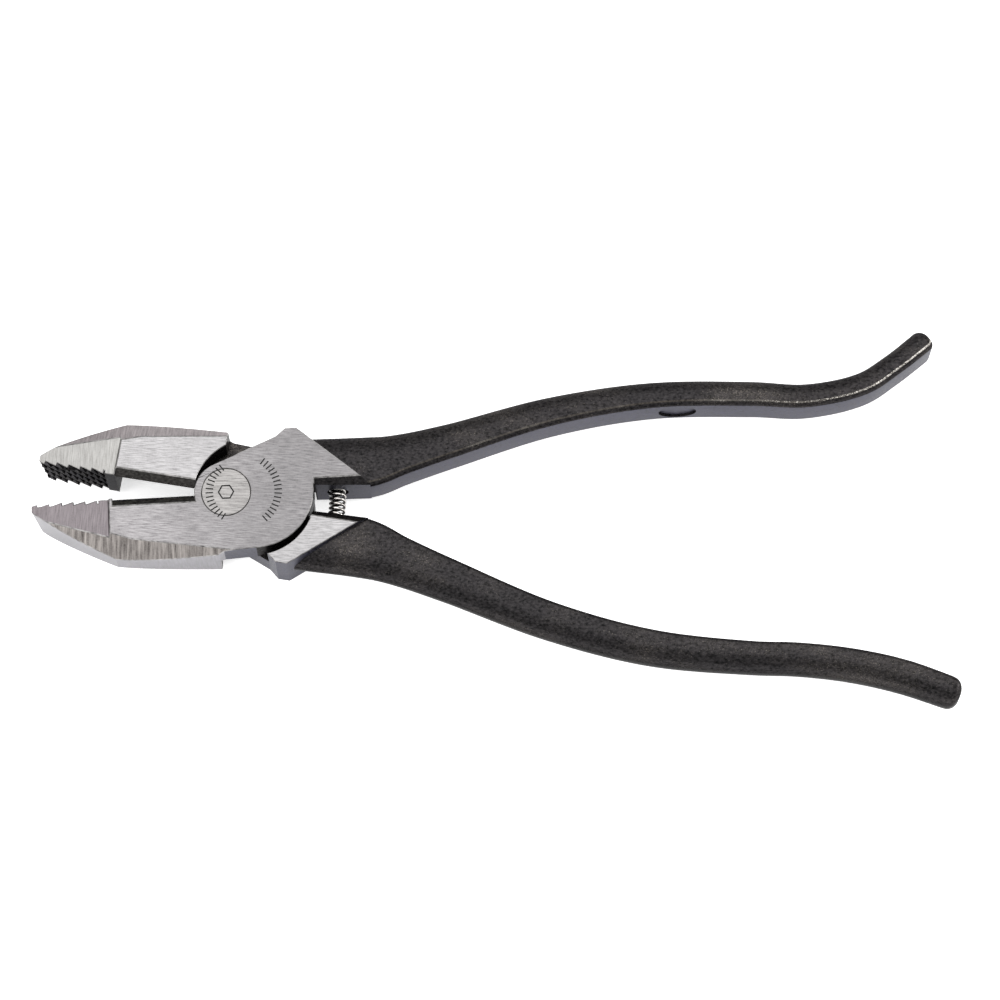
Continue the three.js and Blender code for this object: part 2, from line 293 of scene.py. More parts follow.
def brushed_steel(
    name, dark, light, stretch, turn=(0, 0, 0), rough=(0.3, 0.45), depth=0.00002, joint_shade=0.0
):
    """Ground steel: streaks along one direction, blotches of tone, fine scratches.

    joint_shade darkens the tone from the jaw towards the joint.
    """
    material, tree, shader = new_material(name, 1.0)
    streaks = noise(tree, stretch, turn=turn, detail=6)
    blotches = noise(tree, (1, 1, 1), scale=160, detail=3)
    grain = noise(tree, (1, 1, 1), scale=2600, detail=2)
    tone = ramp(tree, streaks, ((0.32, dark), (0.68, light)))
    worn = mix(tree, span(tree, blotches, 0.0, 0.35), tone, dark + (1,))
    colour = mix(tree, span(tree, grain, 0.0, 0.25), worn, light + (1,))
    if joint_shade:
        place = add_node(tree, "ShaderNodeTexCoord").outputs["Object"]
        along = add_node(tree, "ShaderNodeSeparateXYZ", {"Vector": place}).outputs["X"]
        shade = span(tree, along, 0.0, joint_shade, *JOINT_SHADE_SPAN)
        colour = mix(tree, shade, colour, (0.02, 0.02, 0.02, 1))
    connect(
        tree,
        shader,
        Base_Color=colour,
        Roughness=span(tree, streaks, *rough),
        Normal=bump(tree, streaks, depth),
    )
    return material


def black_oxide(
    name, dark, light, worn, speck_level, rough=(0.28, 0.5), edge_tint=0.35, end_glint=0.0
):
    """Satin black forging: mottled grain, clouds of wear, and specks of barer metal.

    edge_tint is how much it shines at a glancing angle. The last argument raises the wear along the rim
    span, which paints a highlight in the worn colour towards the hook end.
    """
    material, tree, shader = new_material(name, OXIDE_METALLIC)
    shader.inputs["Specular IOR Level"].default_value = OXIDE_SPECULAR
    shader.inputs["Specular Tint"].default_value = (edge_tint, edge_tint, edge_tint, 1)
    mottle = noise(tree, (0.7, 1, 1), scale=1700, detail=5)
    cloud = noise(tree, (0.5, 1, 1), scale=110, detail=5)
    specks = noise(tree, (1, 1.4, 1.4), scale=2600, detail=4, rough=0.75)
    grain = ramp(tree, mottle, ((0.3, dark), (0.72, light)))
    tone = mix(tree, span(tree, cloud, 0.0, CLOUD_SHARE, 0.45, 0.7), grain, worn + (1,))
    cover = math_node(tree, "MULTIPLY", cloud, CLOUD_WEAR)
    level = math_node(tree, "ADD", specks, math_node(tree, "SUBTRACT", cover, CLOUD_WEAR / 2))
    # Painted highlight: the wear level rises along the rim span, so the worn colour brightens towards
    # the hook end.
    if end_glint:
        place = add_node(tree, "ShaderNodeTexCoord").outputs["Object"]
        along = add_node(tree, "ShaderNodeSeparateXYZ", {"Vector": place}).outputs["X"]
        level = math_node(tree, "ADD", level, span(tree, along, 0.0, end_glint, *RIM_GLINT_SPAN))
    wear = span(tree, level, 0.0, 0.8, speck_level, speck_level + 0.12)
    colour = mix(tree, wear, tone, worn + (1,))
    connect(
        tree,
        shader,
        Base_Color=colour,
        Roughness=span(tree, mottle, *rough),
        Normal=bump(tree, mottle, 0.00004, 0.6),
    )
    return material


# The face, nose and chamfer steel each come in two copies, one per half: the same steel, painted a
# different brightness for how the light falls on each half.
def hook_lit_face_steel():
    dark, light = (0.10, 0.095, 0.098), (0.34, 0.328, 0.332)
    return brushed_steel("hook_lit_face", dark, light, FACE_BRUSHING, joint_shade=0.32)


def light_face_steel():
    dark, light = (0.14, 0.136, 0.138), (0.42, 0.412, 0.415)
    return brushed_steel("light_face", dark, light, FACE_BRUSHING, joint_shade=0.1)


def hook_lit_nose_steel():
    return brushed_steel("hook_lit_nose", (0.09, 0.08, 0.084), (0.19, 0.17, 0.178), (3000, 200, 400))


def light_nose_steel():
    return brushed_steel("light_nose", (0.15, 0.146, 0.14), (0.33, 0.325, 0.315), (3000, 200, 400))


# Painted light and shade: the hook half's chamfer copy is painted brighter and the plain half's copy
# darker, for the overhead light on each.
def hook_lit_chamfer_steel():
    dark, light = (0.075, 0.066, 0.062), (0.41, 0.38, 0.36)
    stretch = (1700, 110, 160)
    return brushed_steel("hook_lit_chamfer", dark, light, stretch, rough=(0.35, 0.55), depth=0.00006)


def light_chamfer_steel():
    dark, light = (0.07, 0.062, 0.063), (0.28, 0.252, 0.256)
    stretch = (1900, 130, 160)
    return brushed_steel("light_chamfer", dark, light, stretch, rough=(0.35, 0.55), depth=0.00006)


def side_steel():
    turn = (0, math.radians(20), 0)
    dark, light = (0.080, 0.077, 0.084), (0.228, 0.221, 0.240)
    return brushed_steel("side_steel", dark, light, (2600, 260, 260), turn)


def forged_black():
    dark, light, worn = (0.004, 0.0039, 0.0043), (0.036, 0.0335, 0.0345), (0.14, 0.124, 0.110)
    return black_oxide("forged_black", dark, light, worn, 0.59, rough=(0.22, 0.42), edge_tint=0.4)


# Black oxide of the flat inner faces and walls: the same oxide, painted lighter and bluer as a painted
# reflection of the pale floor.
def floor_reflection_black():
    dark, light, worn = (0.019, 0.019, 0.026), (0.087, 0.086, 0.116), (0.17, 0.165, 0.19)
    return black_oxide("floor_reflection_black", dark, light, worn, 0.64, rough=(0.25, 0.45), edge_tint=0.62)


# Rim of the hook handle: specks of real wear, plus a bright worn colour that serves as a painted glint
# along the rim, stronger towards the hook end.
def rim_wear_and_glint():
    dark, light, worn = (0.008, 0.007, 0.007), (0.05, 0.044, 0.038), (0.6, 0.57, 0.53)
    rough = (0.2, 0.4)
    return black_oxide("rim_wear_and_glint", dark, light, worn, 0.64, rough, edge_tint=0.5, end_glint=0.2)


def tooth_black():
    dark, light, worn = (0.004, 0.004, 0.0045), (0.055, 0.053, 0.059), (0.22, 0.20, 0.18)
    return black_oxide("tooth_black", dark, light, worn, 0.58, edge_tint=0.5)


def knife_grey():
    dark, light, worn = (0.010, 0.0095, 0.0095), (0.06, 0.057, 0.054), (0.16, 0.15, 0.13)
    return black_oxide("knife_grey", dark, light, worn, 0.62)


def worn_edge():
    return brushed_steel("worn_edge", (0.05, 0.048, 0.047), (0.34, 0.33, 0.325), (700, 700, 700))


def mark_black():
    return black_oxide("mark_black", (0.006, 0.006, 0.006), (0.03, 0.03, 0.03), (0.1, 0.09, 0.09), 0.65)


def rivet_steel():
    return brushed_steel("rivet_steel", (0.11, 0.105, 0.103), (0.32, 0.31, 0.303), (230, 3000, 3000))


def spring_steel():
    """Bright drawn wire on the outside of the coils, with painted shade, near black, on the inside of
    them.
    """
    material, tree, shader = new_material("spring_steel", 1.0)
    streaks = noise(tree, (900, 900, 900), detail=5)
    place = add_node(tree, "ShaderNodeTexCoord").outputs["Object"]
    x, y, z = add_node(tree, "ShaderNodeSeparateXYZ", {"Vector": place}).outputs
    flat = add_node(tree, "ShaderNodeCombineXYZ", {"X": x, "Y": y}).outputs[0]
    reach = add_node(tree, "ShaderNodeVectorMath", {0: flat}, operation="LENGTH").outputs["Value"]
    out = math_node(tree, "SUBTRACT", reach, SPRING_ARC)
    up = math_node(tree, "SUBTRACT", z, MID)
    offset = add_node(tree, "ShaderNodeCombineXYZ", {"X": out, "Y": up}).outputs[0]
    radius = add_node(tree, "ShaderNodeVectorMath", {0: offset}, operation="LENGTH").outputs["Value"]
    tone = ramp(tree, streaks, ((0.3, (0.30, 0.28, 0.26)), (0.7, (0.92, 0.90, 0.86))))
    # Painted shade: the wire is darkened on its side towards the coil's axis, where the coils shade
    # each other.
    outer = span(tree, radius, 0.0, 1.0, SPRING_RADIUS, SPRING_RADIUS + 0.8 * SPRING_WIRE)
    connect(
        tree,
        shader,
        Base_Color=mix(tree, outer, (0.012, 0.011, 0.011, 1), tone),
        Roughness=span(tree, streaks, 0.15, 0.3),
        Normal=bump(tree, streaks, 0.00001),
    )
    return material


MATERIALS = {
    "hook_lit_face": hook_lit_face_steel(),
    "light_face": light_face_steel(),
    "hook_lit_nose": hook_lit_nose_steel(),
    "light_nose": light_nose_steel(),
    "hook_lit_chamfer": hook_lit_chamfer_steel(),
    "light_chamfer": light_chamfer_steel(),
    "side": side_steel(),
    "black": forged_black(),
    "flat": floor_reflection_black(),
    "rim": rim_wear_and_glint(),
    "tooth": tooth_black(),
    "knife": knife_grey(),
    "edge": worn_edge(),
    "mark": mark_black(),
    "rivet": rivet_steel(),
    "spring": spring_steel(),
}
FINISHES = list(MATERIALS)
GROUND = {
    "hook_lit_face",
    "light_face",
    "hook_lit_nose",
    "light_nose",
    "hook_lit_chamfer",
    "light_chamfer",
    "side",
}


# ---- Solids --------------------------------------------------------------------------------


def new_object(name, mesh):
    piece = bpy.data.objects.new(name, mesh)
    bpy.context.scene.collection.objects.link(piece)
    return piece


def solid(name, points, faces, finishes):
    """A closed mesh. finishes gives each face's finish, or is one finish for all of them."""
    mesh = bpy.data.meshes.new(name)
    mesh.from_pydata(points, [], faces)
    for material in MATERIALS.values():
        mesh.materials.append(material)
    names = [finishes] * len(faces) if isinstance(finishes, str) else finishes
    for polygon, finish in zip(mesh.polygons, names):
        polygon.material_index = FINISHES.index(finish)
    shape = bmesh.new()
    shape.from_mesh(mesh)
    bmesh.ops.recalc_face_normals(shape, faces=shape.faces)
    shape.to_mesh(mesh)
    shape.free()
    return new_object(name, mesh)


def prism(name, outline, low, high, walls, caps, axes=(0, 1, 2)):
    """A prism from a closed outline. axes says which world axis each of (u, v, height) is."""
    count = len(outline)
    points = []
    for height in (low, high):
        for u, v in outline:
            point = [0.0, 0.0, 0.0]
            point[axes[0]] = u
            point[axes[1]] = v
            point[axes[2]] = height
            points.append(point)
    sides = [(i, (i + 1) % count, count + (i + 1) % count, count + i) for i in range(count)]
    ends = [tuple(range(count)), tuple(range(2 * count - 1, count - 1, -1))]
    wall_names = [walls] * count if isinstance(walls, str) else walls
    return solid(name, points, sides + ends, list(wall_names) + [caps, caps])


def evaluated(piece):
    """The piece with its modifiers applied."""
    graph = bpy.context.evaluated_depsgraph_get()
    mesh = bpy.data.meshes.new_from_object(piece.evaluated_get(graph))
    piece.modifiers.clear()
    piece.data = mesh
    return piece


def combine(piece, others, operation="DIFFERENCE"):
    """Joins, cuts or intersects piece with each of the others, which are used up."""
    for other in others:
        modifier = piece.modifiers.new(operation.lower(), "BOOLEAN")
        modifier.operation = operation
        modifier.object = other
        modifier.solver = "MANIFOLD"
        modifier.material_mode = "INDEX"
    evaluated(piece)
    for other in others:
        bpy.data.objects.remove(other)
    return piece


def break_edges(piece):
    """A small worn flat on the outer edges of the ground steel. Engraved marks are left sharp."""
    shape = bmesh.new()
    shape.from_mesh(piece.data)
    weight = shape.edges.layers.float.new("bevel_weight_edge")
    for edge in shape.edges:
        finishes = {FINISHES[face.material_index] for face in edge.link_faces}
        is_outer = len(edge.link_faces) == 2 and edge.is_convex
        if is_outer and finishes & GROUND and "mark" not in finishes:
            edge[weight] = float(edge.calc_face_angle() > EDGE_ANGLE)
    shape.to_mesh(piece.data)
    shape.free()
    modifier = piece.modifiers.new("edge_break", "BEVEL")
    modifier.width = EDGE_BREAK
    modifier.segments = 1
    modifier.limit_method = "WEIGHT"
    modifier.use_clamp_overlap = False
    modifier.material = FINISHES.index("edge")
    return evaluated(piece)


def smooth(piece, angle=14):
    """Smooth shading, with creases kept."""
    for polygon in piece.data.polygons:
        polygon.use_smooth = True
    piece.data.set_sharp_from_angle(angle=math.radians(angle))
    return piece


def quadratic(start, pull, end, steps):
    """Points of a quadratic curve after its start, up to its end."""
    points = []
    for step in range(1, steps + 1):
        t = step / steps
        weights = ((1 - t) ** 2, 2 * t * (1 - t), t * t)
        point = [sum(w * p[axis] for w, p in zip(weights, (start, pull, end))) for axis in (0, 1)]
        points.append(tuple(point))
    return points


def arc(centre, radius, start, end, steps):
    """Points of an arc, with both of its ends."""
    angles = np.linspace(start, end, steps + 1)
    return [(centre[0] + radius * math.cos(a), centre[1] + radius * math.sin(a)) for a in angles]


def ring(centre, radius, steps):
    return arc(centre, radius, 0, 2 * math.pi, steps)[:-1]


# ---- The forgings --------------------------------------------------------------------------


def flank_y(x):
    """The straight flank leaves the hub as a tangent."""
    tangent_x = -HUB_RADIUS * math.sin(FLANK_ANGLE)
    tangent_y = HUB_RADIUS * math.cos(FLANK_ANGLE)
    return tangent_y + (x - tangent_x) * math.tan(FLANK_ANGLE)


def half_stretches(nose_back):
    """Plan outline without the handle, as stretches of (wall finish, points)."""
    tip = (TIP_X + nose_back, -TIP_FLAT_Y)
    hub_start = FLANK_ANGLE + math.pi / 2
    return (
        ("side", [tip] + quadratic(tip, NOSE_PULL, CORNER, 16)),
        ("side", quadratic(CORNER, BODY_PULL, HEEL, 8)),
        ("flat", [(POCKET_BACK_X + PLATE_STEP[0], -PLATE_RADIUS - PLATE_STEP[1])]),
        ("black", arc((DISC_X, 0), PLATE_RADIUS, -math.pi / 2, PLATE_END_ANGLE, 40)),
        ("flat", [WALL, KNEE]),
        ("flat", [*BUMP_TOP, (BUMP_START_X, flank_y(BUMP_START_X))]),
        ("black", arc((0, 0), HUB_RADIUS, hub_start, math.pi, 20)),
        ("knife", [(-HUB_RADIUS, -EDGE_SETBACK), (CREASE_X + nose_back, -EDGE_SETBACK)]),
        ("tooth", [(CREASE_X + nose_back, -TOOTH_SETBACK), (tip[0], -TOOTH_SETBACK)]),
    )


def half_blank(name, nose_back, face):
    stretches = half_stretches(nose_back)
    outline = [point for _, points in stretches for point in points]
    walls = [finish for finish, points in stretches for _ in points]
    # The wall that closes the outline is the end of the tip
    walls[-1] = "side"
    return prism(name, outline, 0, THICKNESS, walls, face)


def plate_pocket():
    """Half-depth room under the plate for the mate's plate."""
    top = MID + LAP_GAP / 2
    room = prism("pocket", ring((DISC_X, 0), POCKET_RADIUS, 72), -OVERSHOOT, top, "black", "black")
    far = -CUTTER_REACH
    back = [(POCKET_BACK_X, far), (DISC_X, far), (DISC_X, 0), (POCKET_BACK_X, -HUB_RADIUS)]
    return combine(room, [prism("back", back, -OVERSHOOT, top, "black", "black")], "UNION")


def shoulder_band():
    """Slopes the shoulder's inner edge down from the ground face to its wall."""
    far = -OVERSHOOT
    profile = [
        (BAND_Y, THICKNESS),
        (BAND_Y, THICKNESS + OVERSHOOT),
        (far, THICKNESS + OVERSHOOT),
        (far, THICKNESS - BAND_SLOPE * (BAND_Y - far)),
    ]
    end_x = KNEE[0] + OVERSHOOT
    return prism("band", profile, BAND_START_X, end_x, "black", "black", axes=(1, 2, 0))


def slab_above(a, b, c, finish):
    """A slab above the plane through three points, seen anticlockwise."""
    origin = Vector(a)
    along = (Vector(b) - origin).normalized()
    normal = along.cross(Vector(c) - origin).normalized()
    across = normal.cross(along)
    reach = CUTTER_REACH
    corners = [(-reach, -reach), (SLAB_END, -reach), (SLAB_END, reach), (-reach, reach)]
    slab = prism("slab", corners, 0, reach, finish, finish)
    basis = Matrix((along, across, normal)).transposed().to_4x4()
    slab.data.transform(Matrix.Translation(origin) @ basis)
    return slab


def jaw_chamfer(finish):
    """The outer edge ground off along the body and, more steeply, along the nose."""
    corner = (CREASE_X, -CORNER_SIDE_Y, THICKNESS - CHAMFER_DROP)
    body_edge = (CREASE_X, -CHAMFER_EDGE_Y, THICKNESS)
    heel_edge = (*CHAMFER_HEEL, THICKNESS)
    nose_edge = (CREASE_X, -CHAMFER_EDGE_Y, THICKNESS - NOSE_DROP)
    fade_edge = (*CHAMFER_FADE, THICKNESS - NOSE_TIP_DROP)
    return [
        slab_above(heel_edge, body_edge, corner, finish),
        slab_above(nose_edge, fade_edge, corner, finish),
    ]


def nose_facet(nose_back, finish):
    """The gripping nose is ground slightly thinner than the body, up to a crease."""
    crease = CREASE_X + nose_back
    end = TIP_X - OVERSHOOT
    profile = [
        (end, THICKNESS + OVERSHOOT),
        (end, THICKNESS - NOSE_TIP_DROP),
        (crease - CREASE_RUN, THICKNESS - NOSE_DROP),
        (crease, THICKNESS),
        (crease, THICKNESS + OVERSHOOT),
    ]
    return prism("nose", profile, -CUTTER_REACH, OVERSHOOT, finish, finish, axes=(0, 2, 1))


def mirrored(piece):
    """The piece, mirrored to the other face of the tool."""
    piece.data.transform(Matrix.Translation((0, 0, THICKNESS)) @ Matrix.Diagonal((1, 1, -1, 1)))
    piece.data.flip_normals()
    return piece


def leaning_tip(nose_back, face_z, far_z):
    """The tip's end leans back from the face with the knife to the far face."""
    tip = TIP_X + nose_back
    lean = [
        (tip - OVERSHOOT, face_z),
        (tip, face_z),
        (tip + TIP_LEAN, far_z),
        (tip - OVERSHOOT, far_z),
    ]
    return prism("lean", lean, -CUTTER_REACH, OVERSHOOT, "side", "side", axes=(0, 2, 1))


def knife_grind(edge_z, face_z, far_z):
    """Leaves a cutting edge just inside one face: a narrow bevel and a hollow relief."""
    beyond = math.copysign(OVERSHOOT, face_z - edge_z)
    bevel = [
        (-EDGE_SETBACK, edge_z),
        (-KNIFE_BEVEL, face_z),
        (-KNIFE_BEVEL, face_z + beyond),
        (OVERSHOOT, face_z + beyond),
        (OVERSHOOT, edge_z),
    ]
    relief = [(OVERSHOOT, edge_z), (OVERSHOOT, far_z - beyond), (-RELIEF_WIDTH, far_z - beyond)]
    for step in range(RELIEF_STEPS, -1, -1):
        share = step / RELIEF_STEPS
        hollow = RELIEF_WIDTH * math.sin(share * math.pi / 2)
        relief.append((-EDGE_SETBACK - hollow, edge_z + (far_z - edge_z) * share))
    place = {"low": KNIFE_START_X, "high": KNIFE_END_X, "axes": (1, 2, 0)}
    grind = prism("bevel", bevel, walls="knife", caps="knife", **place)
    combine(grind, [prism("relief", relief, walls="black", caps="black", **place)], "UNION")
    circle = ring((0, 0), HUB_RADIUS, 80)
    hub_low = MID + LAP_GAP / 2
    hub = prism("hub", circle, hub_low, THICKNESS + OVERSHOOT, "black", "black")
    return combine(grind, [hub])


def lathe(name, profile, steps, finish):
    """A closed turned solid about Z from (radius, z) points; its first and last are on the axis."""
    inner = profile[1:-1]
    points = [(0, 0, profile[0][1]), (0, 0, profile[-1][1])]
    for radius, z in inner:
        points += [(x, y, z) for x, y in ring((0, 0), radius, steps)]
    faces = []
    for i in range(steps):
        j = (i + 1) % steps
        faces.append((0, 2 + j, 2 + i))
        for row in range(len(inner) - 1):
            low = 2 + row * steps
            faces.append((low + i, low + j, low + steps + j, low + steps + i))
        last = 2 + (len(inner) - 1) * steps
        faces.append((1, last + i, last + j))
    return solid(name, points, faces, finish)


def rivet_profile(clearance, end, edge):
    """Countersunk at both ends; edge is the small flat round each face."""
    shank = RIVET_SHANK + clearance
    head = RIVET_HEAD + clearance
    cone = RIVET_RIM + RIVET_HEAD - RIVET_SHANK
    lower = [(0, -end), (head - edge, -end), (head, -end + edge), (head, RIVET_RIM), (shank, cone)]
    return lower + [(radius, THICKNESS - z) for radius, z in reversed(lower)]


def rivet_hole():
    return lathe("rivet_hole", rivet_profile(RIVET_FIT, OVERSHOOT, RIVET_HOLE_EDGE), 96, "black")


def spring_pocket():
    """Blind hole for one end of the spring, drilled square to the spring's arc."""
    aim = (POCKET_MOUTH + POCKET_FLOOR) / 2
    floor = SPRING_ARC * math.tan(POCKET_FLOOR - aim)
    mouth = -SPRING_ARC * math.tan(aim)
    circle = ring((SPRING_ARC, MID), SPRING_POCKET, 40)
    hole = prism("pocket", circle, mouth, floor, "black", "black", axes=(0, 2, 1))
    hole.data.transform(Matrix.Rotation(aim, 4, "Z"))
    return hole


def tooth_grooves(nose_back, face_z):
    """Two crossing sets of saw grooves that cut the gripping face into diamonds.

    The sets start level on the face with the knife. Across the nose each one drifts by TOOTH_SHIFT
    teeth, one set inwards and the other outwards.
    """
    nose_drop = math.copysign((NOSE_DROP + NOSE_TIP_DROP) / 2, MID - face_z)
    angle = math.atan(TOOTH_SHIFT * TOOTH_PITCH / (THICKNESS - 2 * abs(nose_drop)))
    step = TOOTH_PITCH * math.cos(angle)
    reach = (TOOTH_COUNT + TOOTH_SPARE) * step
    saw = [(reach, OVERSHOOT), (-TOOTH_SPARE * step, OVERSHOOT)]
    for number in range(-TOOTH_SPARE, TOOTH_COUNT + TOOTH_SPARE):
        saw.append((number * step, CREST_FLAT - TOOTH_SETBACK))
        saw.append((number * step + TOOTH_RISE * math.cos(angle), -TOOTH_SETBACK - TOOTH_HEIGHT))
    first_crest = (TIP_X + nose_back + FIRST_CREST, 0, face_z + nose_drop)
    block_end = CREASE_X + nose_back - INNER_LAND
    block = [(TIP_X - OVERSHOOT, -OVERSHOOT), (block_end, -OVERSHOOT)]
    block += [(block_end, 2 * OVERSHOOT), (TIP_X - OVERSHOOT, 2 * OVERSHOOT)]
    grooves = []
    for side in (-1, 1):
        cutter = prism("grooves", saw, -2 * THICKNESS, 2 * THICKNESS, "tooth", "tooth")
        lean = Matrix.Rotation(side * angle, 4, "Y")
        cutter.data.transform(Matrix.Translation(first_crest) @ lean)
        room = prism("block", block, -OVERSHOOT, THICKNESS + OVERSHOOT, "tooth", "tooth")
        grooves.append(combine(cutter, [room], "INTERSECT"))
    return grooves


def handle_section(width, inset):
    """D section as (out, up): flat inner face, rounded corners, full round outer side."""
    half = width / 2 - inset
    tall = HANDLE_THICKNESS / 2 - inset
    corner = min(HANDLE_CORNER, half, tall) * 0.999
    power = 2 / HANDLE_SQUARENESS
    section = []
    for step in range(SECTION_STEPS + 1):
        angle = (step / SECTION_STEPS - 0.5) * math.pi
        out = corner - half + (2 * half - corner) * abs(math.cos(angle)) ** power
        up = math.copysign(tall * abs(math.sin(angle)) ** power, angle)
        section.append((out, up))
    top = (corner - half, tall - corner)
    low = (corner - half, corner - tall)
    section += arc(top, corner, math.pi / 2, math.pi, CORNER_STEPS)[1:]
    section += arc(low, corner, math.pi, 1.5 * math.pi, CORNER_STEPS)[:-1]
    return section


def smooth_line(stations, steps):
    """Centripetal Catmull-Rom line through the stations."""
    points = np.array(stations)
    points = np.vstack([2 * points[0] - points[1], points, 2 * points[-1] - points[-2]])
    gaps = np.sqrt(np.linalg.norm(np.diff(points, axis=0), axis=1))
    line = []
    for i in range(1, len(points) - 2):
        a, b, c, d = points[i - 1 : i + 3]
        before, here, after = gaps[i - 1 : i + 2]
        leave = ((b - a) / before - (c - a) / (before + here) + (c - b) / here) * here
        arrive = ((c - b) / here - (d - b) / (here + after) + (d - c) / after) * here
        for t in np.arange(steps) / steps:
            from_b = (2 * t - 3) * t * t * (b - c) + b
            line.append(from_b + (t - 2) * t * t * leave + t * leave + (t - 1) * t * t * arrive)
    line.append(points[-2])
    return np.array(line)


def handle_rings(stations, end_round):
    """(centre, outward direction, width, inset) of each ring, rounded over at the free end."""
    line = smooth_line(stations, STATION_STEPS)
    heading = np.gradient(line[:, :2], axis=0)
    heading /= np.linalg.norm(heading, axis=1)[:, None]
    outward = np.column_stack([-heading[:, 1], heading[:, 0]])
    to_end = np.linalg.norm(line[:, :2] - line[-1, :2], axis=1)
    body = np.flatnonzero(to_end > end_round)
    rings = [(line[i, :2], outward[i], line[i, 2], 0.0) for i in body]
    base = line[-1, :2] - heading[-1] * end_round
    for step in range(END_STEPS + 1):
        turn = step / END_STEPS * math.pi / 2
        centre = base + heading[-1] * end_round * math.sin(turn)
        rings.append((centre, outward[-1], line[-1, 2], end_round * (1 - math.cos(turn))))
    return rings


def section_finishes(rim):
    """Finish of the strip after each section point: both rims and the flat inner face, whose finish is
    painted lighter and bluer as a reflection of the floor. The top strips of each rim take the rim
    finish, which on the hook handle is a painted glint.
    """
    round_side = ["black"] * SECTION_STEPS
    top_corner = [rim] * RIM_STEPS + ["black"] * (CORNER_STEPS - RIM_STEPS)
    return round_side + top_corner + ["flat"] + top_corner[::-1]


def handle_bar(stations, end_round, rim):
    points = []
    rings = handle_rings(stations, end_round)
    for centre, outward, width, inset in rings:
        for out, up in handle_section(width, inset):
            points.append((*(centre + outward * out), MID + up))
    count = len(points) // len(rings)
    faces = []
    for row in range(len(rings) - 1):
        low = row * count
        for i in range(count):
            j = (i + 1) % count
            faces.append((low + i, low + j, low + count + j, low + count + i))
    finishes = section_finishes(rim) * (len(rings) - 1) + ["black", "black"]
    faces.append(tuple(range(count)))
    faces.append(tuple(range(len(points) - 1, len(points) - count - 1, -1)))
    bar = solid("handle", points, faces, finishes)
    room = [(0.01, WALL[1]), (0.01, -OVERSHOOT), (KNEE[0], -OVERSHOOT), KNEE, WALL]
    return combine(bar, [prism("relief", room, -OVERSHOOT, THICKNESS + OVERSHOOT, "flat", "flat")])


# shade picks the half's copies of the ground steel, which are painted lighter or darker for how the
# light falls on that half.
def closed_half(name, handle, nose_back, shade, knife):
    """One half as it lies closed. knife is the (edge, face, far) height of its cutting edge."""
    half = half_blank(name, nose_back, shade + "_face")
    cuts = [plate_pocket(), nose_facet(nose_back, shade + "_nose")]
    cuts += [mirrored(nose_facet(nose_back, shade + "_nose"))]
    cuts += jaw_chamfer(shade + "_chamfer")
    cuts += [mirrored(slab) for slab in jaw_chamfer(shade + "_chamfer")]
    cuts += [shoulder_band(), mirrored(shoulder_band())]
    cuts += [leaning_tip(nose_back, *knife[1:]), knife_grind(*knife), rivet_hole(), spring_pocket()]
    combine(half, [handle], "UNION")
    combine(half, cuts)
    combine(half, tooth_grooves(nose_back, knife[1]))
    return half


def engraving(name, outline, spare=0.0):
    """A shallow cut in the top face, from a closed outline."""
    low = THICKNESS - MARK_DEPTH - spare
    return prism(name, outline, low, THICKNESS + OVERSHOOT + spare, "mark", "mark")


def tick_marks(radius, start, end, count):
    """Plain radial ticks on an arc, engraved in the top face."""
    near = radius - TICK_LENGTH / 2
    far = radius + TICK_LENGTH / 2
    half = TICK_WIDTH / 2
    ticks = []
    for angle in np.linspace(start, end, count):
        tick = engraving("tick", [(near, -half), (far, -half), (far, half), (near, half)])
        place = Matrix.Translation((MARK_CENTRE_X, 0, 0)) @ Matrix.Rotation(angle, 4, "Z")
        tick.data.transform(place)
        ticks.append(tick)
    return ticks


def plain_marks():
    """Ticks on two arcs and a small hexagon, where a maker would put a stamp."""
    marks = tick_marks(LEFT_MARK_RADIUS, math.radians(125), math.radians(235), 15)
    marks += tick_marks(RIGHT_MARK_RADIUS, math.radians(-52), math.radians(52), 17)
    hexagon = engraving("hexagon", ring((0, 0), HEXAGON_RADIUS, 6))
    inner = ring((0, 0), HEXAGON_RADIUS - HEXAGON_LINE, 6)
    middle = engraving("middle", inner, spare=MARK_DEPTH)
    marks.append(combine(hexagon, [middle]))
    return marks


def round_recess():
    """Shallow round recess in the flat inner face of the hook handle."""
    line = smooth_line(HOOK_HANDLE, STATION_STEPS)
    near = int(np.argmin(abs(line[:, 0] - RECESS_X)))
    heading = line[near + 1, :2] - line[near - 1, :2]
    angle = math.atan2(heading[1], heading[0])
    outline = [(u * RECESS_LENGTH / 2, v * RECESS_HEIGHT / 2) for u, v in ring((0, 0), 1, 48)]
    floor = -line[near, 2] / 2 + RECESS_DEPTH
    hole = prism("recess", outline, floor - RECESS_REACH, floor, "black", "flat", axes=(0, 2, 1))
    hole.data.transform(Matrix.Translation((*line[near, :2], MID)) @ Matrix.Rotation(angle, 4, "Z"))
    return hole


def hook_half():
    knife = (THICKNESS - KNIFE_DEPTH, THICKNESS, 0)
    handle = handle_bar(HOOK_HANDLE, HOOK_END_ROUND, "rim")
    half = closed_half("hook_forging", handle, HOOK_NOSE_BACK, "hook_lit", knife)
    combine(half, [round_recess()])
    combine(half, plain_marks())
    smooth(break_edges(half)).data.transform(Matrix.Rotation(REST_HALF_ANGLE, 4, "Z"))
    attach(half, "hook_half")
    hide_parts("hook_handle_half")


def plain_half():
    knife = (KNIFE_DEPTH, 0, THICKNESS)
    handle = handle_bar(PLAIN_HANDLE, PLAIN_END_ROUND, "black")
    half = closed_half("plain_forging", handle, PLAIN_NOSE_BACK, "light", knife)
    rolled = Matrix.Translation((0, 0, THICKNESS)) @ Matrix.Rotation(math.pi, 4, "X")
    smooth(break_edges(half)).data.transform(Matrix.Rotation(-REST_HALF_ANGLE, 4, "Z") @ rolled)
    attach(half, "plain_half")
    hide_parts("plain_handle_half")


